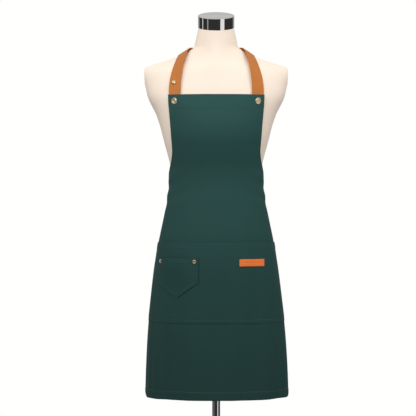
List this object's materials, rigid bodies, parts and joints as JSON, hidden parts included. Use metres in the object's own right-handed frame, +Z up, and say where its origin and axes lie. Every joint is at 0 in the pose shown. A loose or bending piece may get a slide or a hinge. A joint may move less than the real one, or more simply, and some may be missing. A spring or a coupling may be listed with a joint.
{
  "type": "bib apron on a dress form",
  "caption": "Bib apron with lap pocket, pointed tool pocket and buttoned leather neck strap, worn on a headless dress form with a neck cap, sliding pole and round base.",
  "frame": {"origin": "on the floor under the centre of the base", "axes": "+Z up along the pole, the apron's front faces -Y, +X to the right as seen from the front"},
  "size_m": [0.3892, 0.38, 1.554],
  "materials": {
    "green_cloth": "matt, fine weave",
    "tan_leather": "satin",
    "label_leather": "satin",
    "bronze": "polished",
    "cream_jersey": "matt knit",
    "shell_plastic": "matt",
    "board": "plain",
    "chrome": "polished",
    "steel": "satin",
    "black_plastic": "satin",
    "rubber": "matt"
  },
  "bodies": {
    "stand": {"base_plate": "steel", "base_cover": "chrome", "pole_flange": "chrome", "lower_pole": "chrome", "pole_plug": "steel", "base_bolt": "steel", "base_washer": "steel", "foot_pads": "rubber", "clamp_collar": "chrome"},
    "shoe": {"clamp_shoe": "black_plastic"},
    "knob": {"clamp_knob": "black_plastic", "clamp_screw": "steel"},
    "pole": {"upper_pole": "chrome", "pole_guide": "black_plastic", "pole_end_cap": "black_plastic"},
    "torso": {"apron_panel": "green_cloth", "bib_facing": "green_cloth", "lap_pocket": "green_cloth", "tool_pocket": "green_cloth", "waist_tie_left": "green_cloth", "waist_tie_right": "green_cloth", "tie_knot": "green_cloth", "bow_loop_left": "green_cloth", "bow_loop_right": "green_cloth", "neck_strap": "tan_leather", "label_patch": "label_leather", "bib_snap_cap_left": "bronze", "bib_snap_cap_right": "bronze", "bib_snap_socket_left": "bronze", "bib_snap_socket_right": "bronze", "strap_stud_left": "bronze", "strap_stud_right": "bronze", "strap_stud_left_post": "bronze", "strap_stud_right_post": "bronze", "spare_stud": "bronze", "spare_stud_post": "bronze", "pocket_rivets": "bronze", "pocket_rivet_backs": "bronze", "jersey_cover": "cream_jersey", "armhole_plate_left": "cream_jersey", "armhole_plate_right": "cream_jersey", "torso_shell": "shell_plastic", "base_board": "board", "neck_block": "board", "neck_cap": "chrome", "neck_disc": "chrome", "pole_socket": "chrome", "neck_bolt": "steel", "socket_screws": "steel"},
    "tail_left": {"tie_tail_left": "green_cloth"},
    "tail_right": {"tie_tail_right": "green_cloth"}
  },
  "joints": [
    {"name": "height_slide", "type": "slide", "parent": "stand", "child": "pole", "axis": [0, 0, 1], "range_m": [-0.12, 0.15]},
    {"name": "torso_swivel", "type": "hinge", "parent": "pole", "child": "torso", "pos_m": [0, 0, 0.9], "axis": [0, 0, 1], "continuous": true},
    {"name": "shoe_slide", "type": "slide", "parent": "stand", "child": "shoe", "axis": [1, 0, 0], "range_m": [0, 0.0025]},
    {"name": "knob_turn", "type": "hinge", "parent": "shoe", "child": "knob", "pos_m": [0.03, 0, 0.401], "axis": [1, 0, 0], "range_deg": [0, 720]},
    {"name": "tail_left_swing", "type": "hinge", "parent": "torso", "child": "tail_left", "pos_m": [-0.0085, 0.10358, 1.03772], "axis": [1, 0, 0], "range_deg": [0, 75]},
    {"name": "tail_right_swing", "type": "hinge", "parent": "torso", "child": "tail_right", "pos_m": [0.0085, 0.10358, 1.03772], "axis": [1, 0, 0], "range_deg": [0, 75]}
  ],
  "couplings": [
    {"joint": "shoe_slide", "follows": "knob_turn", "m_per_rad": 0.00019894}
  ]
}
